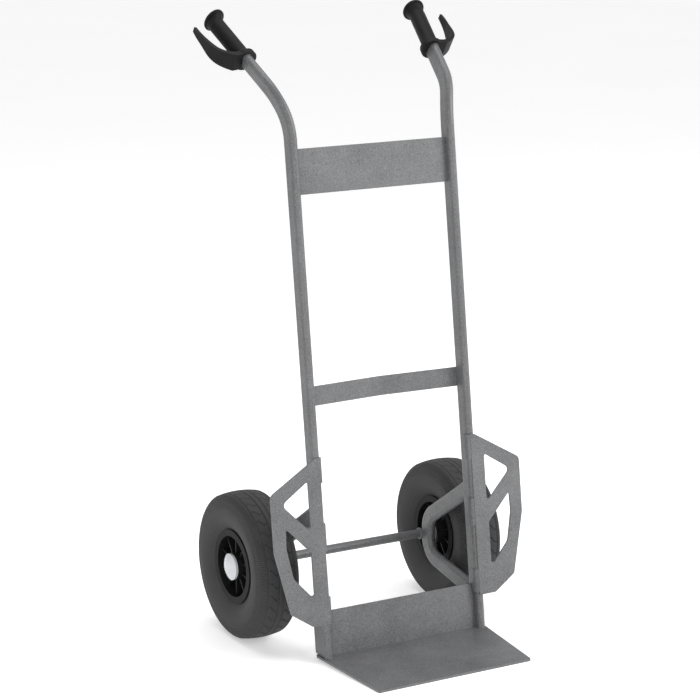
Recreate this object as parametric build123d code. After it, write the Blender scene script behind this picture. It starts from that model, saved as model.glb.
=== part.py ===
"""Two-wheel hand truck: welded flat-oval tube frame, trapezoid toe plate, wheel guards,
pneumatic wheels on a cross axle and moulded hand grips with knuckle guards.

Millimetres, +Z up, +Y towards the user's side, the toe plate points to -Y.
Drawn with y = 0 where the stile noses would meet the ground; at the end every piece is
moved along Y so that the origin is on the ground at the middle of the whole footprint.
The frame leans back, so flat frame pieces are drawn in frame coordinates:
x across, u square to the frame (backwards), w up along the stiles.
"""
from build123d import *
import os
from math import acos, cos, radians, sin, tan

# ---------------------------------------------------------------- driving sizes
lean_angle = 7.7            # lean of the stiles behind the vertical, degrees
stile_gap = 294.0           # clear width between the stiles' inner faces
tube_depth = 30.0           # flat-oval tube, front to back
tube_width = 15.0           # flat-oval tube, side to side
tube_wall = 1.6
seat_gap = 0.1              # gap under curved faces that lie against each other

# handle: two bends above the straight stile (x out from the stile, y back, z up)
bend_1_height = 911.4       # height of the first bend's corner
bend_1_radius = 130.0
bend_2_out = 15.7           # second corner, out from the stile centre plane
bend_2_back = 25.2          # second corner, back from the first
bend_2_rise = 45.4          # second corner, above the first
bend_2_radius = 91.0
handle_length = 198.7       # second corner to the grip's end face
handle_rise_angle = 34.2    # degrees above the horizontal
handle_splay_angle = 11.2   # degrees outwards in plan

# cross members
upper_plate_bottom = 799.0
upper_plate_height = 77.0
lower_plate_top = 89.8         # its lower edge rests on the toe plate
cross_plate_thickness = 3.0
cross_plate_setback = 13.5  # front face behind the stile nose
mid_bar_bottom = 440.6
mid_bar_height = 33.4
mid_bar_thickness = 3.0
mid_bar_setback = 24.5      # front face at the stiles
mid_bar_bow = 17.0          # how far the middle stands behind the ends
mid_bar_bend_radius = 70.0

# toe plate
toe_depth = 187.0
toe_side_margin = 5.0          # toe plate's rear corner outside the stile
toe_side_taper = 16.0          # its front corner stands this much further in
toe_thickness = 4.0
toe_reach = 155.0           # front edge ahead of the origin
toe_tilt = 1.8              # the rear edge stands a little higher than the front
toe_corner_radius = 4.0

# wheel guards, measured out from the centre plane and up the stile
guard_thickness = 3.0
guard_inner_out = -3.5         # guard widths are out from the stile's centre plane
guard_outer_out = 94.5
guard_bottom = 70.5
guard_top = 356.5
guard_shoulder_w = 304.0
guard_waist_w = 206.5
guard_foot_out = 70.5
guard_foot_w = 98.0
guard_heel_out = 29.5
guard_tip_out = 4.5
guard_web_out = 21.9        # outer edge of the strip along the stile
guard_tabs = ((75.0, 116.0), (195.0, 243.0), (313.0, 356.0))
guard_tab_tail = 4.0        # straight end of each wrapped tab

# axle brackets, bent from the frame tube (y back, z up)
bracket_apex_y = 187.0
bracket_apex_top = 165.0
bracket_apex_bottom = 98.0
bracket_top_z = 255.0       # where the upper leg's centre line meets the stile
bracket_top_y = 51.0
bracket_knee_y = 57.0       # lower leg turns down behind the stile
bracket_knee_z = 75.0
bracket_apex_radius = 38.0
bracket_knee_radius = 17.0
bracket_foot_show = 14.0    # how far the foot stands out behind the stile

# axle and wheels
wheel_radius = 130.0
axle_diameter = 16.0
axle_y = 204.0
axle_tail = 3.0             # axle beyond the retaining washer
spacer_run = 10.05          # from the stile's outer face to the wheel's hub
tyre_width = 77.8
tread_width = 54.0
bead_radius = 57.6
rim_radius = 65.7
rim_width = 62.9
rim_lip = 3.2
rim_barrel_wall = 3.6
rim_web_thickness = 4.0
spoke_count = 10
spoke_thickness = 3.4
hub_radius = 24.0
hub_inner_reach = 34.3      # hub end beyond the wheel's centre plane, frame side
hub_outer_reach = 31.0      # hub end beyond the wheel's centre plane, outer side
bearing_diameter = 30.0
bearing_length = 15.0
bearing_lip = 2.0
running_fit = 0.05          # radial, bearing on axle
side_play = 0.3             # along the axle
washer_diameter = 26.0
washer_thickness = 2.0
cap_radius = 23.5
cap_wall = 1.8
cap_rim = 4.0               # straight part of the cap outside the hub
cap_dome = 7.0
cap_flat = 2.0              # radius of the small flat at the cap's middle
cap_spigot = 3.0            # cap's ring inside the hub's counterbore
weld_radius = 10.8
weld_length = 4.0

# grips, measured back from the end face along the handle
tube_end_diameter = 24.0    # the handle tube is formed round inside the grip
tube_end_flat = 0.2         # what is left of the oval's straight sides
form_start = 109.0          # the tube starts to turn round here
form_end = 91.0             # and is round from here to its end
tube_end_gap = 1.0          # tube end to the grip's closed end
grip_radius = 13.9
grip_flange_width = 37.2    # across, side to side
grip_flange_depth = 44.2    # square to that
grip_flange_offset = 2.7    # the flange stands inwards of the grip's axis
grip_flange_thickness = 5.0
grip_flange_round = 1.7
grip_neck = 9.0             # flare from the flange down to the body
grip_body_end = 92.0
grip_collar_start = 103.0
grip_collar_end = 112.0
grip_collar_radius = 20.2
guard_strap_inner = 45.0    # knuckle guard, out from the grip's axis
guard_strap_outer = 50.6
guard_strap_tip = 16.3      # tip's distance from the end face plane
guard_strap_half = 17.3     # half height at the root
guard_strap_tip_half = 3.6

# ---------------------------------------------------------------- derived frame
c_lean = cos(radians(lean_angle))
s_lean = sin(radians(lean_angle))
stile_x = stile_gap / 2 + tube_width / 2
stile_inner = stile_gap / 2
stile_outer = stile_gap / 2 + tube_width
toe_rear_width = 2 * (stile_outer + toe_side_margin)
toe_front_width = toe_rear_width - 2 * toe_side_taper
guard_inner_x = stile_x + guard_inner_out
guard_outer_x = stile_x + guard_outer_out
guard_foot_x = stile_x + guard_foot_out
guard_heel_x = stile_x + guard_heel_out
guard_tip_x = stile_x + guard_tip_out
guard_web_x = stile_x + guard_web_out
nose_radius = tube_width / 2
U_DIR = Vector(0, c_lean, -s_lean)
W_DIR = Vector(0, s_lean, c_lean)


def frame_point(x, u, w):
    """Point given across, back and up the leaning frame."""
    return Vector(x, u * c_lean + w * s_lean, w * c_lean - u * s_lean)


def facing_plane(u):
    """Sketch plane across the frame at depth u: local x across, local y up the stiles."""
    return Plane(origin=frame_point(0, u, 0), x_dir=(1, 0, 0), z_dir=-U_DIR)


def section_plane(w):
    """Sketch plane square to the stiles at height w: local x across, local y backwards."""
    return Plane(origin=frame_point(0, 0, w), x_dir=(1, 0, 0), z_dir=W_DIR)


def oval(width, depth):
    """Flat-oval face, width along local x and depth along local y."""
    return Rot(0, 0, 90) * SlotOverall(depth, width)


def tube_section(wall=None):
    """Frame tube's section; with a wall it is the hollow ring."""
    outer = oval(tube_width, tube_depth)
    if wall is None:
        return outer
    return outer - oval(tube_width - 2 * wall, tube_depth - 2 * wall)


def filleted_route(points, radii):
    """Straight runs joined by tangent arcs; one radius for each inner point."""
    edges = []
    start = points[0]
    for i, radius in enumerate(radii):
        corner = points[i + 1]
        back = (points[i] - corner).normalized()
        ahead = (points[i + 2] - corner).normalized()
        half = acos(max(-1.0, min(1.0, back.dot(ahead)))) / 2
        setback = radius / tan(half)
        inward = (back + ahead).normalized()
        middle = corner + inward * (radius / sin(half) - radius)
        arc_start = corner + back * setback
        arc_end = corner + ahead * setback
        edges.append(Edge.make_line(start, arc_start))
        edges.append(Edge.make_three_point_arc(arc_start, middle, arc_end))
        start = arc_end
    edges.append(Edge.make_line(start, points[-1]))
    return Wire(edges)


def swept(section, route, x_dir):
    """Sweep a flat section square to the route's start; x_dir is the section's local x."""
    plane = Plane(origin=route @ 0, x_dir=x_dir, z_dir=route % 0)
    return sweep(plane * section, path=route)


def solid_of(shape):
    """The single largest solid of a shape."""
    return max(shape.solids(), key=lambda s: s.volume)


def mirrored(shape):
    """The same piece on the left side."""
    return mirror(shape, about=Plane.YZ)


pieces = {}


def save(name, shape):
    """Keep a finished piece; all of them are written out at the end."""
    pieces[name] = shape


def save_pair(name, right_shape):
    save("right_" + name, right_shape)
    save("left_" + name, mirrored(right_shape))


os.makedirs("parts", exist_ok=True)

# ---------------------------------------------------------------- toe plate
toe_front = -toe_reach
toe_place = Pos(0, toe_front, 0) * Rot(toe_tilt, 0, 0)
toe_outline = Polygon(
    (-toe_front_width / 2, 0),
    (toe_front_width / 2, 0),
    (toe_rear_width / 2, toe_depth),
    (-toe_rear_width / 2, toe_depth),
    align=None,
)
toe_outline = fillet(toe_outline.vertices(), toe_corner_radius)
toe_plate = toe_place * extrude(toe_outline, toe_thickness)
save("toe_plate", toe_plate)

# everything that stands on the toe plate ends on its top face
below_toe_top = toe_place * Pos(0, toe_depth / 2, toe_thickness) * Box(
    900, 900, 200, align=(Align.CENTER, Align.CENTER, Align.MAX)
)

# ---------------------------------------------------------------- stiles with handles
stile_mid_u = tube_depth / 2
route_start = frame_point(stile_x, stile_mid_u, -25)
corner_1_w = (bend_1_height + stile_mid_u * s_lean) / c_lean
corner_1 = frame_point(stile_x, stile_mid_u, corner_1_w)
corner_2 = corner_1 + Vector(bend_2_out, bend_2_back, bend_2_rise)
rise = radians(handle_rise_angle)
splay = radians(handle_splay_angle)
handle_dir = Vector(cos(rise) * sin(splay), cos(rise) * cos(splay), sin(rise))
grip_end = corner_2 + handle_dir * handle_length
form_point = grip_end - handle_dir * form_start
stile_route = filleted_route(
    [route_start, corner_1, corner_2, form_point], [bend_1_radius, bend_2_radius]
)

# the tube's side-to-side direction at the handle, carried round both bends
bend_dir = (corner_2 - corner_1).normalized()
side_dir = Vector(1, 0, 0)
for before, after in ((W_DIR, bend_dir), (bend_dir, handle_dir)):
    turn_axis = before.cross(after).normalized()
    side_dir = side_dir.rotate(Axis((0, 0, 0), turn_axis), before.get_angle(after))
side_dir = (side_dir - handle_dir * side_dir.dot(handle_dir)).normalized()
tube_plane = Plane(origin=grip_end, x_dir=side_dir, z_dir=handle_dir)


def round_end(z_low, z_high, inset):
    """Round length of the handle tube's outline, drawn in by inset, between two distances."""
    width = tube_end_diameter - 2 * inset
    return tube_plane * Pos(0, 0, -z_high) * extrude(oval(width, width + tube_end_flat), z_high - z_low)


def formed_end(inset):
    """Stretch where the flat oval turns round, drawn in by inset."""
    width = tube_end_diameter - 2 * inset
    oval_end = Pos(0, 0, -form_start) * oval(tube_width - 2 * inset, tube_depth - 2 * inset)
    round_start = Pos(0, 0, -form_end) * oval(width, width + tube_end_flat)
    return tube_plane * loft([oval_end.face(), round_start.face()])


tube_stop = grip_flange_thickness + tube_end_gap
stile_solid = swept(tube_section(), stile_route, (1, 0, 0)) - below_toe_top
stile_tube = swept(tube_section(tube_wall), stile_route, (1, 0, 0)) - below_toe_top
stile_tube = stile_tube + (formed_end(0) - formed_end(tube_wall))
stile_tube = stile_tube + (round_end(tube_stop, form_end, 0) - round_end(tube_stop, form_end, tube_wall))
save_pair("stile", solid_of(stile_tube))

# ---------------------------------------------------------------- cross plates
def cross_plate(bottom, height):
    """Flat plate between the stiles' inner faces."""
    sketch = Pos(0, bottom + height / 2) * Rectangle(stile_gap, height)
    return extrude(facing_plane(cross_plate_setback) * sketch, -cross_plate_thickness)


save("upper_cross_plate", cross_plate(upper_plate_bottom, upper_plate_height))
lower_plate = cross_plate(0, lower_plate_top) - below_toe_top
save("lower_cross_plate", solid_of(lower_plate))

# middle bar: a strip with one soft bend, bowed backwards, coped to the stiles
bar_run = stile_x
bar_line = FilletPolyline(
    (-bar_run, mid_bar_setback), (0, mid_bar_setback + mid_bar_bow), (bar_run, mid_bar_setback),
    radius=mid_bar_bend_radius,
)
bar_back = FilletPolyline(
    (-bar_run, mid_bar_setback + mid_bar_thickness),
    (0, mid_bar_setback + mid_bar_bow + mid_bar_thickness),
    (bar_run, mid_bar_setback + mid_bar_thickness),
    radius=mid_bar_bend_radius,
)
bar_ends = [Line(bar_line @ 0, bar_back @ 0), Line(bar_line @ 1, bar_back @ 1)]
bar_face = make_face(bar_line.edges() + bar_back.edges() + [e for b in bar_ends for e in b.edges()])
mid_bar = extrude(section_plane(mid_bar_bottom) * bar_face, mid_bar_height, dir=W_DIR)
mid_bar = mid_bar - stile_solid - mirrored(stile_solid)
save("middle_crossbar", solid_of(mid_bar))

# ---------------------------------------------------------------- wheel guards
guard_outline = Polygon(
    (guard_inner_x, guard_bottom),
    (guard_heel_x, guard_bottom),
    (guard_foot_x, guard_foot_w),
    (guard_outer_x, guard_waist_w),
    (guard_outer_x, guard_shoulder_w),
    (guard_tip_x, guard_top),
    (guard_inner_x, guard_top),
    align=None,
)


def corner(sketch, x, w):
    """The sketch's vertex nearest to a point."""
    return min(sketch.vertices(), key=lambda v: (v.X - x) ** 2 + (v.Y - w) ** 2)


guard_outline = fillet(corner(guard_outline, guard_outer_x, guard_shoulder_w), 12)
guard_outline = fillet(corner(guard_outline, guard_outer_x, guard_waist_w), 40)
guard_outline = fillet(corner(guard_outline, guard_foot_x, guard_foot_w), 8)
guard_outline = fillet(corner(guard_outline, guard_heel_x, guard_bottom), 8)
guard_outline = fillet(corner(guard_outline, guard_tip_x, guard_top), 4)

window_reach = guard_outer_x - 20
upper_window = Polygon(
    (guard_web_x, guard_shoulder_w + 16),
    (guard_web_x, guard_waist_w + 26),
    (window_reach, guard_shoulder_w - 18),
    align=None,
)
upper_window = fillet(corner(upper_window, window_reach, guard_shoulder_w - 18), 8)
upper_window = fillet(corner(upper_window, guard_web_x, guard_shoulder_w + 16), 3)
upper_window = fillet(corner(upper_window, guard_web_x, guard_waist_w + 26), 4)

lower_window = Polygon(
    (guard_web_x + 2, guard_waist_w - 9),
    (guard_web_x + 2, guard_foot_w + 26.5),
    (guard_heel_x + 1, guard_foot_w + 26.5),
    (guard_foot_x - 9.5, guard_foot_w + 60),
    (guard_outer_x - 23.5, guard_waist_w + 4),
    (guard_outer_x - 25, guard_waist_w + 39),
    align=None,
)
lower_window = fillet(corner(lower_window, guard_foot_x - 9.5, guard_foot_w + 60), 20)
lower_window = fillet(corner(lower_window, guard_outer_x - 23.5, guard_waist_w + 4), 30)
for wx, ww in (
    (guard_web_x + 2, guard_waist_w - 9),
    (guard_web_x + 2, guard_foot_w + 26.5),
    (guard_heel_x + 1, guard_foot_w + 26.5),
    (guard_outer_x - 25, guard_waist_w + 39),
):
    lower_window = fillet(corner(lower_window, wx, ww), 2.5)

guard_sheet = extrude(
    facing_plane(-seat_gap) * (guard_outline - upper_window - lower_window), guard_thickness
)

# tabs wrap the stile nose and lie on its inner side
wrap_in = nose_radius + seat_gap
wrap_out = wrap_in + guard_thickness
tab_ring = Pos(stile_x, nose_radius) * (Circle(wrap_out) - Circle(wrap_in))
tab_quarter = Pos(stile_x - wrap_out / 2, nose_radius - wrap_out / 2) * Rectangle(wrap_out, wrap_out)
tab_tail = Pos(stile_x - wrap_in - guard_thickness / 2, nose_radius + guard_tab_tail / 2) * Rectangle(
    guard_thickness, guard_tab_tail
)
tab_face = (tab_ring & tab_quarter) + tab_tail
guard = guard_sheet
for tab_low, tab_high in guard_tabs:
    guard = guard + extrude(section_plane(tab_low) * tab_face, tab_high - tab_low, dir=W_DIR)
save_pair("wheel_guard", solid_of(guard))

# ---------------------------------------------------------------- axle brackets
foot_mid_u = tube_depth + bracket_foot_show - tube_depth / 2
foot_end = frame_point(stile_x, foot_mid_u, -10)
knee = frame_point(stile_x, foot_mid_u, bracket_knee_z / c_lean)
bracket_points = [
    Vector(stile_x, bracket_top_y, bracket_top_z),
    Vector(stile_x, bracket_apex_y, bracket_apex_top),
    Vector(stile_x, bracket_apex_y, bracket_apex_bottom),
    knee,
    foot_end,
]
bracket_route = filleted_route(
    bracket_points, [bracket_apex_radius, bracket_apex_radius, bracket_knee_radius]
)
axle_place = Pos(0, axle_y, wheel_radius)
axle_saddle = axle_place * Rot(0, 90, 0) * Cylinder(axle_diameter / 2 + seat_gap, 900)
bracket = swept(tube_section(tube_wall), bracket_route, (1, 0, 0))
bracket = bracket - stile_solid - below_toe_top - axle_saddle
save_pair("axle_bracket", solid_of(bracket))

# ---------------------------------------------------------------- axle
wheel_x = stile_outer + spacer_run + hub_inner_reach
hub_in_x = wheel_x - hub_inner_reach
hub_out_x = wheel_x + hub_outer_reach
cap_seat_depth = cap_spigot + seat_gap
bearing_face_x = hub_out_x - cap_seat_depth
washer_x = bearing_face_x + bearing_lip + side_play
axle_half = washer_x + washer_thickness + axle_tail


def along_axle(sketch):
    """Turn a sketch of (distance along the axle, radius) into a solid of revolution."""
    turned = revolve(Plane.XZ * sketch, Axis.X)
    return axle_place * turned


def ring(x_low, x_high, r_in, r_out):
    """Round ring on the axle line."""
    sketch = Pos((x_low + x_high) / 2, (r_in + r_out) / 2) * Rectangle(x_high - x_low, r_out - r_in)
    return along_axle(sketch)


save("cross_axle", axle_place * Rot(0, 90, 0) * Cylinder(axle_diameter / 2, 2 * axle_half))

axle_r = axle_diameter / 2
weld_sketch = Polygon(
    (stile_inner, axle_r),
    (stile_inner, weld_radius),
    (stile_inner - weld_length * 0.5, weld_radius - 0.4),
    (stile_inner - weld_length, axle_r + 0.6),
    (stile_inner - weld_length, axle_r),
    align=None,
)
weld_right = along_axle(weld_sketch)
save("axle_welds", Compound(children=[solid_of(weld_right), solid_of(mirrored(weld_right))]))

spacer = ring(stile_outer, hub_in_x - bearing_lip - side_play, axle_r, axle_r + 4)
save_pair("axle_spacer", spacer)
retainer = ring(washer_x, washer_x + washer_thickness, axle_r, washer_diameter / 2)
save_pair("retaining_washer", retainer)

# ---------------------------------------------------------------- wheels (right one)
half_tread = tread_width / 2
half_tyre = tyre_width / 2
half_rim = rim_width / 2
bead_out = half_rim - rim_lip - seat_gap
bead_in = bead_out - 10
carcass_wall = 9.0
bead_top = (bead_out, rim_radius + 0.6)
sidewall_mid = (half_tyre - 0.7, rim_radius + 24.0)
shoulder_low = (half_tyre - 1.2, wheel_radius - 15.5)
shoulder_mid_point = (half_tread + 8.5, wheel_radius - 8.0)
shoulder_top = (half_tread + 3.5, wheel_radius - 3.2)
hollow_low = (bead_in, bead_radius)
hollow_side = (half_tyre - carcass_wall, rim_radius + 24.0)
hollow_shoulder = (half_tread + 0.5, wheel_radius - carcass_wall - 9.0)
crown = (0, wheel_radius)
hollow_crown = (0, wheel_radius - carcass_wall - 1.5)


def over(point):
    """The same profile point on the wheel's other side."""
    return (-point[0], point[1])


tyre_profile = make_face(
    [
        Edge.make_three_point_arc(bead_top, sidewall_mid, shoulder_low),
        Edge.make_three_point_arc(shoulder_low, shoulder_mid_point, shoulder_top),
        Edge.make_three_point_arc(shoulder_top, crown, over(shoulder_top)),
        Edge.make_three_point_arc(over(shoulder_top), over(shoulder_mid_point), over(shoulder_low)),
        Edge.make_three_point_arc(over(shoulder_low), over(sidewall_mid), over(bead_top)),
        Edge.make_line(over(bead_top), (-bead_out, bead_radius)),
        Edge.make_line((-bead_out, bead_radius), over(hollow_low)),
        Edge.make_three_point_arc(over(hollow_low), over(hollow_side), over(hollow_shoulder)),
        Edge.make_three_point_arc(over(hollow_shoulder), hollow_crown, hollow_shoulder),
        Edge.make_three_point_arc(hollow_shoulder, hollow_side, hollow_low),
        Edge.make_line(hollow_low, (bead_out, bead_radius)),
        Edge.make_line((bead_out, bead_radius), bead_top),
    ]
)
save_pair("tyre", Pos(wheel_x, 0, 0) * along_axle(tyre_profile))

# rim: hub, web disc, spokes, barrel and lips in one moulding
barrel_out = bead_radius - seat_gap
barrel_in = barrel_out - rim_barrel_wall
bearing_r = bearing_diameter / 2
barrel = ring(wheel_x - half_rim, wheel_x + half_rim, barrel_in, barrel_out)
lip_out = ring(wheel_x + half_rim - rim_lip, wheel_x + half_rim, barrel_in, rim_radius)
lip_in = ring(wheel_x - half_rim, wheel_x - half_rim + rim_lip, barrel_in, rim_radius)
hub = ring(hub_in_x, hub_out_x, bearing_r, hub_radius)
web = ring(wheel_x - rim_web_thickness / 2, wheel_x + rim_web_thickness / 2, hub_radius - 2, barrel_in + 1)
spoke_depth = rim_width - 16
spoke_length = barrel_in - hub_radius + 3
spoke = Pos(0, 0, hub_radius + spoke_length / 2 - 1.5) * Box(spoke_depth, spoke_thickness, spoke_length)
rim = barrel + lip_out + lip_in + hub + web
for k in range(spoke_count):
    rim = rim + axle_place * Pos(wheel_x, 0, 0) * Rot(360 * k / spoke_count, 0, 0) * spoke
cap_seat = ring(hub_out_x - cap_seat_depth, hub_out_x + 1, bearing_r - 1, cap_radius - cap_wall + seat_gap)
rim = rim - cap_seat
save_pair("rim", solid_of(rim))

# plain bearings pressed into both ends of the hub, each with a thin lip
bore_r = axle_r + running_fit
bearing_in = ring(hub_in_x, hub_in_x + bearing_length, bore_r, bearing_r)
bearing_in = bearing_in + ring(hub_in_x - bearing_lip, hub_in_x, bore_r, bearing_r + 3)
bearing_out = ring(bearing_face_x - bearing_length, bearing_face_x, bore_r, bearing_r)
bearing_out = bearing_out + ring(bearing_face_x, bearing_face_x + bearing_lip, bore_r, bearing_r + 3)
bearings = Compound(children=[solid_of(bearing_in), solid_of(bearing_out)])
save("right_bearings", bearings)
save("left_bearings", Compound(children=[solid_of(mirrored(bearing_in)), solid_of(mirrored(bearing_out))]))

# hub cap: shallow dome with a spigot inside the hub
cap_edge_x = hub_out_x + cap_rim
cap_face = cap_edge_x + cap_dome
cap_in_r = cap_radius - cap_wall
dome_radius = (cap_radius**2 + cap_dome**2) / (2 * cap_dome)
dome_centre_x = cap_face - dome_radius
hollow_radius = dome_radius - cap_wall
spigot_in_r = cap_in_r - cap_wall


def dome_x(radius, r):
    """Height of a dome about the shared centre at radius r from the axle."""
    return dome_centre_x + (radius**2 - r**2) ** 0.5


cap_profile = make_face(
    [
        Edge.make_line((hub_out_x, cap_in_r), (hub_out_x, cap_radius)),
        Edge.make_line((hub_out_x, cap_radius), (cap_edge_x, cap_radius)),
        Edge.make_three_point_arc(
            (cap_edge_x, cap_radius),
            (dome_x(dome_radius, cap_radius / 2), cap_radius / 2),
            (dome_x(dome_radius, cap_flat), cap_flat),
        ),
        Edge.make_line((dome_x(dome_radius, cap_flat), cap_flat), (dome_x(dome_radius, cap_flat), 0)),
        Edge.make_line((dome_x(dome_radius, cap_flat), 0), (dome_x(hollow_radius, cap_flat), 0)),
        Edge.make_line((dome_x(hollow_radius, cap_flat), 0), (dome_x(hollow_radius, cap_flat), cap_flat)),
        Edge.make_three_point_arc(
            (dome_x(hollow_radius, cap_flat), cap_flat),
            (dome_x(hollow_radius, spigot_in_r / 2), spigot_in_r / 2),
            (dome_x(hollow_radius, spigot_in_r), spigot_in_r),
        ),
        Edge.make_line(
            (dome_x(hollow_radius, spigot_in_r), spigot_in_r), (hub_out_x - cap_spigot, spigot_in_r)
        ),
        Edge.make_line((hub_out_x - cap_spigot, spigot_in_r), (hub_out_x - cap_spigot, cap_in_r)),
        Edge.make_line((hub_out_x - cap_spigot, cap_in_r), (hub_out_x, cap_in_r)),
    ]
)
cap = along_axle(cap_profile)
save_pair("hub_cap", solid_of(cap))

# ---------------------------------------------------------------- grips (right one)
level_side = (Vector(1, 0, 0) - handle_dir * handle_dir.X).normalized()
grip_plane = Plane(origin=grip_end, x_dir=level_side, z_dir=handle_dir)
strap_plane = Plane(origin=grip_end, x_dir=handle_dir, z_dir=handle_dir.cross(level_side))
taper_plane = Plane(origin=grip_end, x_dir=handle_dir, z_dir=level_side)

# body and collar are turned about the handle (s along it, r square to it)
shoulder_mid = Vector(
    -grip_collar_start + (grip_collar_start - grip_body_end) * 0.35,
    grip_radius + (grip_collar_radius - grip_radius) * 0.24,
)
turned_start = -grip_flange_thickness + 2
turned_profile = make_face(
    [
        Edge.make_line((turned_start, 0), (turned_start, grip_radius)),
        Edge.make_line((turned_start, grip_radius), (-grip_body_end, grip_radius)),
        Edge.make_three_point_arc(
            (-grip_body_end, grip_radius), shoulder_mid, (-grip_collar_start, grip_collar_radius - 0.8)
        ),
        Edge.make_three_point_arc(
            (-grip_collar_start, grip_collar_radius - 0.8),
            (-grip_collar_start - 0.3, grip_collar_radius - 0.3),
            (-grip_collar_start - 1.0, grip_collar_radius),
        ),
        Edge.make_line((-grip_collar_start - 1.0, grip_collar_radius), (-grip_collar_end, grip_collar_radius)),
        Edge.make_line((-grip_collar_end, grip_collar_radius), (-grip_collar_end, 0)),
        Edge.make_line((-grip_collar_end, 0), (turned_start, 0)),
    ]
)
turned = revolve(strap_plane * turned_profile, Axis(grip_end, handle_dir))

# end flange: an ellipse set inwards, with a flared neck
flange_face = Ellipse(grip_flange_width / 2, grip_flange_depth / 2)
flange = Pos(-grip_flange_offset, 0, -grip_flange_thickness) * extrude(flange_face, grip_flange_thickness)
flange = fillet(flange.edges(), grip_flange_round)
neck_top = Pos(-grip_flange_offset, 0, -grip_flange_thickness + 1) * Ellipse(
    grip_flange_width / 2 - grip_flange_round - 1.2, grip_flange_depth / 2 - grip_flange_round - 1.2
)
neck_middle = Pos(-grip_flange_offset * 0.4, 0, -grip_flange_thickness - grip_neck * 0.4) * Ellipse(
    grip_radius + (grip_flange_width / 2 - grip_radius) * 0.3,
    grip_radius + (grip_flange_depth / 2 - grip_radius) * 0.3,
)
neck_low = Pos(0, 0, -grip_flange_thickness - grip_neck) * Circle(grip_radius - 0.8)
neck = loft([neck_low.face(), neck_middle.face(), neck_top.face()])
flange = grip_plane * (flange + neck)

# knuckle guard: a plate that turns from the collar to a tip beside the grip
corner_s = -grip_collar_start + 12
strap_outer = Spline(
    (-grip_collar_end, grip_collar_radius + 3.0),
    (-grip_collar_end + 8, guard_strap_outer * 0.664),
    (-grip_collar_end + 25.4, guard_strap_outer * 0.931),
    (-grip_collar_end + 41.4, guard_strap_outer),
    (-grip_collar_end * 0.45, guard_strap_outer - 0.5),
    (-guard_strap_tip - 14.4, guard_strap_outer - 0.8),
    (-guard_strap_tip, guard_strap_outer - 2.3),
)
strap_inner = Spline(
    (-guard_strap_tip - 3.0, guard_strap_inner - 1.6),
    (-guard_strap_tip - 16.4, guard_strap_inner - 0.1),
    (-grip_collar_end * 0.45, guard_strap_inner + 0.4),
    (corner_s + 24, guard_strap_inner - 0.8),
    (corner_s + 10, guard_strap_inner - 3.2),
    (corner_s, guard_strap_inner - 8.5),
    (corner_s - 7.5, guard_strap_inner - 17.5),
    (-grip_collar_start + 1.0, grip_radius + 3.0),
)
strap_face = make_face(
    [
        strap_outer.edge(),
        Edge.make_three_point_arc(
            strap_outer @ 1,
            Vector(-guard_strap_tip + 1.2, guard_strap_inner + 1.0),
            strap_inner @ 0,
        ),
        strap_inner.edge(),
        Edge.make_line(strap_inner @ 1, Vector(-grip_collar_start + 1.0, 0)),
        Edge.make_line(Vector(-grip_collar_start + 1.0, 0), Vector(-grip_collar_end, 0)),
        Edge.make_line(Vector(-grip_collar_end, 0), strap_outer @ 0),
    ]
)
strap = extrude(strap_plane * strap_face, guard_strap_half + 4, both=True)
taper_face = Polygon(
    (-grip_collar_end - 1, -guard_strap_half),
    (-guard_strap_tip + 4, -guard_strap_tip_half),
    (-guard_strap_tip + 4, guard_strap_tip_half),
    (-grip_collar_end - 1, guard_strap_half),
    align=None,
)
taper = extrude(taper_plane * taper_face, guard_strap_outer * 2, both=True)
strap = strap & taper
bore = round_end(grip_flange_thickness, form_end, -seat_gap) + formed_end(-seat_gap)
mouth = Pos(0, 0, -grip_collar_end - 5) * oval(tube_width + 2 * seat_gap, tube_depth + 2 * seat_gap)
bore = bore + tube_plane * extrude(mouth, grip_collar_end + 5 - form_start)
grip = turned + flange + strap - bore
save_pair("grip", solid_of(grip))

# ---------------------------------------------------------------- write the pieces
boxes = [shape.bounding_box() for shape in pieces.values()]
footprint_mid = (min(b.min.Y for b in boxes) + max(b.max.Y for b in boxes)) / 2
for name, shape in pieces.items():
    placed = Pos(0, -footprint_mid, 0) * shape
    placed.label = name
    export_step(placed, os.path.join("parts", name + ".step"))
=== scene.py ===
"""Looks of the hand truck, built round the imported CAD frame. Metres, +Z up, toe plate towards -Y."""
import math

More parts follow.
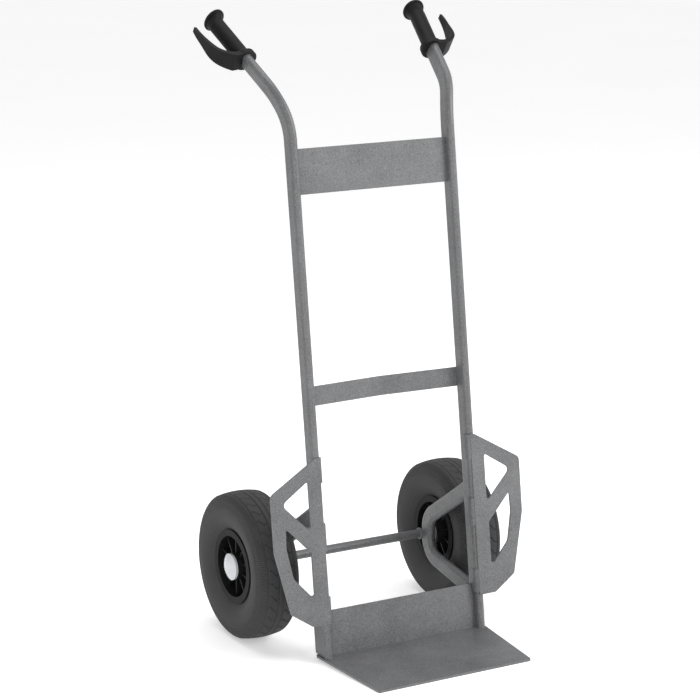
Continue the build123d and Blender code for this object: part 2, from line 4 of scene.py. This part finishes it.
import bpy
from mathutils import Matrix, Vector


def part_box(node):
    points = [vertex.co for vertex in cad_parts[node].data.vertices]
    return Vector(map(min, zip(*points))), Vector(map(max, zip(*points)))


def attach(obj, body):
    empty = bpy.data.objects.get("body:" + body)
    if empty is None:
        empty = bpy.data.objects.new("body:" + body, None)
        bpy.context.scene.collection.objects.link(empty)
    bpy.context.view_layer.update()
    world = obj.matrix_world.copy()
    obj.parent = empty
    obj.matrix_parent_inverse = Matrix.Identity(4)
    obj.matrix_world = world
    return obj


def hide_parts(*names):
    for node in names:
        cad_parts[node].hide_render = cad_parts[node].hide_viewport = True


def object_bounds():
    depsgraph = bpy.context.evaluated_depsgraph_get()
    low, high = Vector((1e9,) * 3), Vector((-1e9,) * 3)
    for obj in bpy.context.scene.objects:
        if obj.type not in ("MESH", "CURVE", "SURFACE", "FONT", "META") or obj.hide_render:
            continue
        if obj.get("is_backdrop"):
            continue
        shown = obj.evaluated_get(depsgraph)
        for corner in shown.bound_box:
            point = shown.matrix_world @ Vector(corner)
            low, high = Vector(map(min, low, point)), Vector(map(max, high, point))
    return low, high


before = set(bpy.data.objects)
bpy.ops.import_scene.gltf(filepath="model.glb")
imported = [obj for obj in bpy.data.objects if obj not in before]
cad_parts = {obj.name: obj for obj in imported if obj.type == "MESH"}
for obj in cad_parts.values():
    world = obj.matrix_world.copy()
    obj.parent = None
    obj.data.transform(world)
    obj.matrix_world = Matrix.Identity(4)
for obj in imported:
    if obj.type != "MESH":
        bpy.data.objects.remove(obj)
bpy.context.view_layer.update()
MM = 0.001
SIDES = (("left", -1), ("right", 1))

# sizes repeated from the frame, mm
WHEEL_RADIUS = 130.0
RIM_RADIUS = 65.7
HALF_TYRE = 38.9
HALF_TREAD = 27.0
BEAD_OUT = 28.15          # where the tyre meets the rim's lip
BEAD_RADIUS = 57.6
AXLE_BEHIND_NOSE = 204.0
STILE_X = 154.5
STILE_MIDDLE = 15.0
FIRST_BEND_HEIGHT = 911.4
SECOND_BEND = (15.7, 25.2, 45.4)
HANDLE_LENGTH = 198.7


# ------------------------------------------------------------------ node helpers
def new_material(name):
    mat = bpy.data.materials.new(name)
    mat.use_nodes = True
    return mat, mat.node_tree, mat.node_tree.nodes["Principled BSDF"]


def link(tree, out, inp):
    tree.links.new(out, inp)


def math_node(tree, kind, a, b=None, clamp=False):
    node = tree.nodes.new("ShaderNodeMath")
    node.operation = kind
    node.use_clamp = clamp
    for i, value in enumerate((a, b)):
        if value is None:
            continue
        if isinstance(value, (int, float)):
            node.inputs[i].default_value = value
        else:
            link(tree, value, node.inputs[i])
    return node.outputs[0]


def object_coords(tree):
    return tree.nodes.new("ShaderNodeTexCoord").outputs["Object"]


def noise(tree, scale, detail=2.0, roughness=0.5, coords=None):
    node = tree.nodes.new("ShaderNodeTexNoise")
    node.inputs["Scale"].default_value = scale
    node.inputs["Detail"].default_value = detail
    node.inputs["Roughness"].default_value = roughness
    link(tree, coords or object_coords(tree), node.inputs["Vector"])
    return node.outputs["Fac"]


def ramp(tree, value, stops):
    node = tree.nodes.new("ShaderNodeValToRGB")
    elements = node.color_ramp.elements
    while len(elements) < len(stops):
        elements.new(0.5)
    for element, (place, colour) in zip(elements, stops):
        element.position = place
        if isinstance(colour, (int, float)):
            colour = (colour, colour, colour)
        element.color = (*colour, 1.0)
    link(tree, value, node.inputs["Fac"])
    return node.outputs["Color"]


def bump(tree, height, strength, distance, below=None):
    node = tree.nodes.new("ShaderNodeBump")
    node.inputs["Strength"].default_value = strength
    node.inputs["Distance"].default_value = distance
    link(tree, height, node.inputs["Height"])
    if below is not None:
        link(tree, below, node.inputs["Normal"])
    return node.outputs["Normal"]


def between(tree, value, low, high, soft):
    """1 where the value lies between low and high, fading over soft."""
    rise = math_node(tree, "DIVIDE", math_node(tree, "SUBTRACT", value, low), soft, True)
    fall = math_node(tree, "DIVIDE", math_node(tree, "SUBTRACT", high, value), soft, True)
    return math_node(tree, "MULTIPLY", rise, fall)


# ------------------------------------------------------------------ materials
def powder_coat(name, dark, light, rough_low, rough_high, grain=430.0):
    """Fine-textured grey paint: grainy speckle, soft orange-peel and faint handling dirt."""
    mat, tree, shader = new_material(name)
    coords = object_coords(tree)
    speckle = noise(tree, grain, 3.0, 0.6, coords)
    cloud = noise(tree, 14.0, 3.0, 0.55, coords)
    mixed = math_node(
        tree, "ADD", math_node(tree, "MULTIPLY", speckle, 0.72), math_node(tree, "MULTIPLY", cloud, 0.28)
    )
    link(tree, ramp(tree, mixed, ((0.36, dark), (0.66, light))), shader.inputs["Base Color"])
    rough = ramp(tree, noise(tree, 60.0, 3.0, 0.6, coords), ((0.3, rough_low), (0.7, rough_high)))
    link(tree, rough, shader.inputs["Roughness"])
    shader.inputs["Metallic"].default_value = 0.0
    shader.inputs["Specular IOR Level"].default_value = 0.5
    shader.inputs["Coat Weight"].default_value = 0.12
    shader.inputs["Coat Roughness"].default_value = 0.3
    peel = bump(tree, noise(tree, 190.0, 1.0, 0.4, coords), 0.35, 0.0004)
    link(tree, bump(tree, speckle, 0.5, 0.0003, peel), shader.inputs["Normal"])
    return mat


def moulded_plastic(name, dark, light, rough, grain=900.0, strength=0.25):
    mat, tree, shader = new_material(name)
    shader.inputs["Specular IOR Level"].default_value = 0.09
    coords = object_coords(tree)
    fine = noise(tree, grain, 2.0, 0.6, coords)
    cloud = noise(tree, 35.0, 3.0, 0.5, coords)
    link(tree, ramp(tree, cloud, ((0.3, dark), (0.72, light))), shader.inputs["Base Color"])
    dull = ramp(tree, cloud, ((0.3, rough - 0.06), (0.7, rough + 0.06)))
    link(tree, dull, shader.inputs["Roughness"])
    link(tree, bump(tree, fine, strength, 0.00015), shader.inputs["Normal"])
    return mat


def wheel_rubber(name, centre):
    """Tyre rubber with fine radial shoulder sipes and rings pressed into the sidewall; the sipe cuts are
    also darkened in the base colour as painted shade.
    """
    mat, tree, shader = new_material(name)
    coords = object_coords(tree)
    split = tree.nodes.new("ShaderNodeSeparateXYZ")
    link(tree, coords, split.inputs[0])
    along = math_node(tree, "ABSOLUTE", math_node(tree, "SUBTRACT", split.outputs[0], centre[0]))
    dy = math_node(tree, "SUBTRACT", split.outputs[1], centre[1])
    dz = math_node(tree, "SUBTRACT", split.outputs[2], centre[2])
    angle = math_node(tree, "ARCTAN2", dz, dy)
    squares = [math_node(tree, "MULTIPLY", d, d) for d in (dy, dz)]
    radius = math_node(tree, "SQRT", math_node(tree, "ADD", *squares))
    wave = math_node(tree, "SINE", math_node(tree, "MULTIPLY", angle, 104.0))
    sipe = math_node(tree, "POWER", math_node(tree, "ABSOLUTE", wave), 0.45)
    sipe_gap = math_node(tree, "SUBTRACT", 1.0, sipe)
    on_shoulder = between(tree, radius, 0.1050, 0.1285, 0.002)
    on_side = math_node(tree, "GREATER_THAN", along, 0.0272)
    cut = math_node(tree, "MULTIPLY", math_node(tree, "MULTIPLY", sipe_gap, on_shoulder), on_side)
    ring_height = 0.0
    for r, w in ((0.0725, 0.0007), (0.0765, 0.0005), (0.1030, 0.0006)):
        ring = between(tree, radius, r - w, r + w, 0.0004)
        ring_height = ring if ring_height == 0.0 else math_node(tree, "ADD", ring_height, ring)
    fine = noise(tree, 520.0, 3.0, 0.6, coords)
    dust = noise(tree, 22.0, 4.0, 0.6, coords)
    blend = math_node(
        tree, "ADD", math_node(tree, "MULTIPLY", dust, 0.75), math_node(tree, "MULTIPLY", fine, 0.25)
    )
    # painted shade: the base colour is darkened inside the sipe cuts, on top of their bump
    tone = math_node(tree, "SUBTRACT", blend, math_node(tree, "MULTIPLY", cut, 0.28))
    colour = ramp(tree, tone, ((0.25, (0.024, 0.024, 0.025)), (0.75, (0.044, 0.044, 0.045))))
    link(tree, colour, shader.inputs["Base Color"])
    link(tree, ramp(tree, dust, ((0.3, 0.56), (0.7, 0.70))), shader.inputs["Roughness"])
    shader.inputs["Specular IOR Level"].default_value = 0.25
    first = bump(tree, fine, 0.25, 0.0002)
    second = bump(tree, ring_height, 0.7, 0.0006, first)
    uncut = math_node(tree, "SUBTRACT", 1.0, cut)
    link(tree, bump(tree, uncut, 1.0, 0.0014, second), shader.inputs["Normal"])
    return mat


def cap_plastic(name):
    mat, tree, shader = new_material(name)
    coords = object_coords(tree)
    cloud = noise(tree, 60.0, 2.0, 0.5, coords)
    colour = ramp(tree, cloud, ((0.3, (0.47, 0.485, 0.505)), (0.7, (0.55, 0.565, 0.585))))
    link(tree, colour, shader.inputs["Base Color"])
    link(tree, ramp(tree, cloud, ((0.3, 0.10), (0.7, 0.16))), shader.inputs["Roughness"])
    shader.inputs["Coat Weight"].default_value = 0.5
    shader.inputs["Coat Roughness"].default_value = 0.08
    link(tree, bump(tree, noise(tree, 240.0, 2.0, 0.5, coords), 0.06, 0.0002), shader.inputs["Normal"])
    return mat


def turned_steel(name):
    """Plated steel with fine turning lines round the axle and a little oxide."""
    mat, tree, shader = new_material(name)
    coords = object_coords(tree)
    stretch = tree.nodes.new("ShaderNodeMapping")
    stretch.inputs["Scale"].default_value = (40.0, 1.0, 1.0)
    link(tree, coords, stretch.inputs["Vector"])
    lines = noise(tree, 60.0, 3.0, 0.6, stretch.outputs["Vector"])
    cloud = noise(tree, 45.0, 4.0, 0.6, coords)
    colour = ramp(tree, cloud, ((0.3, (0.40, 0.40, 0.41)), (0.7, (0.56, 0.56, 0.57))))
    link(tree, colour, shader.inputs["Base Color"])
    link(tree, ramp(tree, cloud, ((0.3, 0.30), (0.7, 0.45))), shader.inputs["Roughness"])
    shader.inputs["Metallic"].default_value = 1.0
    link(tree, bump(tree, lines, 0.2, 0.0002), shader.inputs["Normal"])
    return mat


paint = powder_coat(
    "textured_grey_paint", (0.062, 0.063, 0.065), (0.150, 0.152, 0.156), 0.40, 0.52
)
weld_paint = powder_coat(
    "painted_weld", (0.060, 0.061, 0.063), (0.120, 0.122, 0.125), 0.42, 0.55, 300.0
)
rim_plastic = moulded_plastic("black_rim_plastic", (0.006, 0.006, 0.0065), (0.013, 0.013, 0.014), 0.5)
grip_plastic = moulded_plastic(
    "black_grip_plastic", (0.008, 0.008, 0.0085), (0.015, 0.015, 0.016), 0.5, 700.0, 0.4
)
bearing_plastic = moulded_plastic("grey_bearing_nylon", (0.28, 0.28, 0.29), (0.38, 0.38, 0.39), 0.42)
white_cap = cap_plastic("white_cap_plastic")
axle_steel = turned_steel("plated_axle_steel")


def dress(node, mat):
    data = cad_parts[node].data
    data.materials.clear()
    data.materials.append(mat)


for node in ("toe_plate", "upper_cross_plate", "lower_cross_plate", "middle_crossbar", "cross_axle"):
    dress(node, paint)
dress("axle_welds", weld_paint)
for side, _ in SIDES:
    for part in ("stile", "wheel_guard", "axle_bracket"):
        dress(f"{side}_{part}", paint)
    for part in ("axle_spacer", "retaining_washer"):
        dress(f"{side}_{part}", axle_steel)
    dress(f"{side}_rim", rim_plastic)
    dress(f"{side}_bearings", bearing_plastic)
    dress(f"{side}_hub_cap", white_cap)
    dress(f"{side}_grip", grip_plastic)
    dress(f"{side}_tyre", rim_plastic)


# ------------------------------------------------------------------ mesh helpers
def mesh_piece(name, verts, faces, mat, body):
    mesh = bpy.data.meshes.new(name)
    mesh.from_pydata(verts, [], faces)
    mesh.update()
    mesh.polygons.foreach_set("use_smooth", [True] * len(mesh.polygons))
    mesh.materials.append(mat)
    obj = bpy.data.objects.new(name, mesh)
    bpy.context.scene.collection.objects.link(obj)
    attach(obj, body)
    return obj


def arc_points(a, b, c, count):
    """Points on the circle through a, b and c, from a to c."""
    (ax, ay), (bx, by), (cx, cy) = a, b, c
    d = 2 * (ax * (by - cy) + bx * (cy - ay) + cx * (ay - by))
    a2, b2, c2 = ax**2 + ay**2, bx**2 + by**2, cx**2 + cy**2
    ux = (a2 * (by - cy) + b2 * (cy - ay) + c2 * (ay - by)) / d
    uy = (a2 * (cx - bx) + b2 * (ax - cx) + c2 * (bx - ax)) / d
    r = math.hypot(ax - ux, ay - uy)
    t0 = math.atan2(ay - uy, ax - ux)
    tb = (math.atan2(by - uy, bx - ux) - t0) % (2 * math.pi)
    t1 = (math.atan2(cy - uy, cx - ux) - t0) % (2 * math.pi)
    if tb > t1:
        t1 -= 2 * math.pi
    turns = [t0 + t1 * k / count for k in range(count + 1)]
    return [(ux + r * math.cos(t), uy + r * math.sin(t)) for t in turns]


# ------------------------------------------------------------------ tyres
def tyre_profile():
    """Outer half profile of the tyre in mm, from the bead to the crown: (out from the middle, radius)."""
    bead = (BEAD_OUT, RIM_RADIUS + 0.6)
    low = (HALF_TYRE - 1.2, WHEEL_RADIUS - 15.5)
    top = (HALF_TREAD + 3.5, WHEEL_RADIUS - 3.2)
    side = arc_points(bead, (HALF_TYRE - 0.7, RIM_RADIUS + 24.0), low, 16)
    shoulder = arc_points(low, (HALF_TREAD + 8.5, WHEEL_RADIUS - 8.0), top, 8)
    tread = arc_points(top, (0.0, WHEEL_RADIUS), (-top[0], top[1]), 76)[:39]
    return side[:-1] + shoulder[:-1] + tread


def step(x, edge, soft):
    t = min(1.0, max(0.0, (x - edge) / soft + 0.5))
    return t * t * (3 - 2 * t)


def groove_depth(x, turn):
    """Tread cut depth in mm at x mm from the middle and a turn in lateral pitches."""
    ax = abs(x)
    centre_groove, shoulder_groove = 5.2, 25.5
    depth = 2.4 * (1 - step(abs(ax - centre_groove), 0.9, 0.8))
    depth = max(depth, 1.6 * (1 - step(abs(ax - shoulder_groove), 0.7, 0.8)))
    if centre_groove < ax < shoulder_groove:
        across_block = (ax - centre_groove) / (shoulder_groove - centre_groove)
        sway = 0.22 * math.sin(2 * math.pi * across_block) * (1 if x > 0 else -1)
        phase = (turn + sway + (0.5 if x < 0 else 0.0)) % 1.0
        depth = max(depth, 1.8 * (1 - step(abs(phase - 0.5), 0.04, 0.035)))
    return depth


def build_tyre(side, sign, centre):
    half = tyre_profile()
    profile = half + [(-x, r) for x, r in reversed(half[:-1])]
    inner = [(-BEAD_OUT, BEAD_RADIUS), (BEAD_OUT, BEAD_RADIUS)]
    pitches, per = 36, 24     # lateral grooves round the tyre, steps in each
    tread_low = WHEEL_RADIUS - 6.0
    turns = pitches * per
    verts, faces = [], []
    for i in range(turns):
        angle = 2 * math.pi * i / turns
        ca, sa = math.cos(angle), math.sin(angle)
        for x, r in profile:
            cut = groove_depth(x * sign, i / per) if r > tread_low else 0.0
            rr = r - cut
            verts.append(
                (centre[0] + sign * x * MM, centre[1] + rr * ca * MM, centre[2] + rr * sa * MM)
            )
        for x, r in inner:
            verts.append((centre[0] + sign * x * MM, centre[1] + r * ca * MM, centre[2] + r * sa * MM))
    n = len(profile) + len(inner)
    for i in range(turns):
        a, b = i * n, ((i + 1) % turns) * n
        for k in range(n):
            m = (k + 1) % n
            quad = (a + k, a + m, b + m, b + k)
            faces.append(quad if sign > 0 else quad[::-1])
    mat = wheel_rubber(f"{side}_tyre_rubber", centre)
    tyre = mesh_piece(f"{side}_treaded_tyre", verts, faces, mat, f"{side}_wheel")
    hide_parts(f"{side}_tyre")
    return tyre


def node_centre(node):
    low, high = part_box(node)
    return (Vector(low) + Vector(high)) / 2


for side, sign in SIDES:
    build_tyre(side, sign, node_centre(f"{side}_tyre"))

# ------------------------------------------------------------------ grip ribs
lean, rise, splay = math.radians(7.7), math.radians(34.2), math.radians(11.2)
handle = Vector((math.cos(rise) * math.sin(splay), math.cos(rise) * math.cos(splay), math.sin(rise)))
across = (Vector((1, 0, 0)) - handle * handle.x).normalized()
over = across.cross(handle) * -1
if over.z < 0:
    over = -over
corner_w = (FIRST_BEND_HEIGHT + STILE_MIDDLE * math.sin(lean)) / math.cos(lean)
axle_shift = node_centre("cross_axle").y / MM - AXLE_BEHIND_NOSE
corner_1 = Vector((
    STILE_X,
    STILE_MIDDLE * math.cos(lean) + corner_w * math.sin(lean) + axle_shift,
    FIRST_BEND_HEIGHT,
))
grip_end = (corner_1 + Vector(SECOND_BEND) + handle * HANDLE_LENGTH) * MM


def grip_ribs(side, sign):
    """Fine half-round ribs round the finger side of the grip."""
    verts, faces = [], []
    count, span, ring = 30, math.radians(215), 40
    for k in range(count):
        s = -(19.0 + k * 2.45) * MM
        base = len(verts)
        for i in range(ring + 1):
            t = i / ring
            angle = math.radians(-50) + span * (t - 0.5)
            fade = min(1.0, min(t, 1 - t) * 9)
            outward = across * math.cos(angle) + over * math.sin(angle)
            for j in range(5):
                u = math.pi * j / 4
                r = 13.75 * MM + 0.62 * MM * math.sin(u) * fade
                p = grip_end + handle * (s + 0.85 * MM * math.cos(u)) + outward * r
                verts.append((p.x * sign, p.y, p.z))
        for i in range(ring):
            for j in range(4):
                a = base + i * 5 + j
                quad = (a, a + 1, a + 6, a + 5)
                faces.append(quad if sign > 0 else quad[::-1])
    return mesh_piece(f"{side}_grip_ribs", verts, faces, grip_plastic, "frame")


for side, sign in SIDES:
    grip_ribs(side, sign)


# ------------------------------------------------------------------ weld beads
def weld_bead(name, points, size, pitch=3.2):
    """Rippled bead along a line of points (metres)."""
    path, run = [], 0.0
    for a, b in zip(points[:-1], points[1:]):
        steps = max(2, int((b - a).length / (0.7 * MM)))
        for k in range(steps):
            path.append((a.lerp(b, k / steps), (b - a).normalized(), run + (b - a).length * k / steps))
        run += (b - a).length
    path.append((points[-1], (points[-1] - points[-2]).normalized(), run))
    verts, faces, ring = [], [], 10
    for place, direction, distance in path:
        u = direction.orthogonal().normalized()
        v = direction.cross(u)
        ends = min(1.0, min(distance, run - distance) / (1.6 * size) + 0.25)
        swell = 1 + 0.16 * abs(math.sin(math.pi * distance / (pitch * MM)))
        for j in range(ring):
            a = 2 * math.pi * j / ring
            verts.append(tuple(place + (u * math.cos(a) + v * math.sin(a)) * size * ends * swell))
    for i in range(len(path) - 1):
        for j in range(ring):
            a, b = i * ring + j, i * ring + (j + 1) % ring
            faces.append((a, b, b + ring, a + ring))
    faces.append(tuple(range(ring))[::-1])
    faces.append(tuple(range((len(path) - 1) * ring, len(path) * ring)))
    return mesh_piece(name, verts, faces, weld_paint, "frame")


def frame_point(x, u, w):
    """Metres from across, back and up the leaning frame (mm)."""
    return Vector((
        x, u * math.cos(lean) + w * math.sin(lean) + axle_shift, w * math.cos(lean) - u * math.sin(lean)
    )) * MM


for side, sign in SIDES:
    for plate, low, high in (("upper", 801.0, 874.0), ("lower", 13.0, 88.0)):
        line = [frame_point(sign * 146.6, 16.9, low), frame_point(sign * 146.6, 16.9, high)]
        weld_bead(f"{side}_{plate}_plate_weld", line, 1.7 * MM)
    line = [frame_point(sign * 147.2, 27.9, 443.0), frame_point(sign * 147.2, 27.9, 472.0)]
    weld_bead(f"{side}_crossbar_weld", line, 1.6 * MM)

# ------------------------------------------------------------------ floor, lights, camera
def stage_mesh(name, verts, faces, mat):
    mesh = bpy.data.meshes.new(name)
    mesh.from_pydata(verts, [], faces)
    mesh.materials.append(mat)
    obj = bpy.data.objects.new(name, mesh)
    bpy.context.scene.collection.objects.link(obj)
    obj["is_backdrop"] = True
    return obj


floor_mat, floor_tree, floor_shader = new_material("pale_floor")
tone = ramp(floor_tree, noise(floor_tree, 1.3, 2.0), ((0.3, 0.90), (0.7, 0.92)))
link(floor_tree, tone, floor_shader.inputs["Base Color"])
floor_shader.inputs["Roughness"].default_value = 0.8
floor_shader.inputs["Specular IOR Level"].default_value = 0.1
floor_shader.inputs["Emission Color"].default_value = (1.0, 1.0, 1.0, 1.0)
floor_shader.inputs["Emission Strength"].default_value = 0.36
half, drop = 30, -0.0004
corners = [(-half, -half, drop), (half, -half, drop), (half, half, drop), (-half, half, drop)]
stage_mesh("floor", corners, [(0, 1, 2, 3)], floor_mat)

world = bpy.data.worlds.new("studio")
world.use_nodes = True
sky = world.node_tree
split = sky.nodes.new("ShaderNodeSeparateXYZ")
link(sky, sky.nodes.new("ShaderNodeTexCoord").outputs["Generated"], split.inputs[0])
link(sky, ramp(sky, split.outputs[2], ((0.05, 1.0), (0.6, 0.55))), sky.nodes["Background"].inputs[0])
sky.nodes["Background"].inputs[1].default_value = 1.02
bpy.context.scene.world = world


def area_light(name, place, target, size, power):
    data = bpy.data.lights.new(name, "AREA")
    data.shape = "RECTANGLE"
    data.size, data.size_y = size
    data.energy = power
    obj = bpy.data.objects.new(name, data)
    obj.location = place
    obj.rotation_euler = (Vector(target) - Vector(place)).to_track_quat("-Z", "Y").to_euler()
    bpy.context.scene.collection.objects.link(obj)
    return obj


area_light("key", (2.6, -2.6, 2.6), (0, 0, 0.5), (1.8, 2.2), 120)
area_light("fill", (-2.4, -3.0, 0.7), (0, 0, 0.3), (2.5, 1.2), 34)
area_light("top", (0.0, 0.6, 3.4), (0, 0, 0.4), (2.4, 2.4), 45)

camera_data = bpy.data.cameras.new("camera")
camera_data.lens = 121.52
camera_data.sensor_width = 36.0
camera = bpy.data.objects.new("camera", camera_data)
camera.location = (-2.0183, -3.3957, 1.4380)
camera.rotation_euler = (math.radians(90 - 13.176), 0.0, -math.radians(29.91))
bpy.context.scene.collection.objects.link(camera)
bpy.context.scene.camera = camera
bpy.context.scene.view_settings.view_transform = "Standard"

low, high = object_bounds()
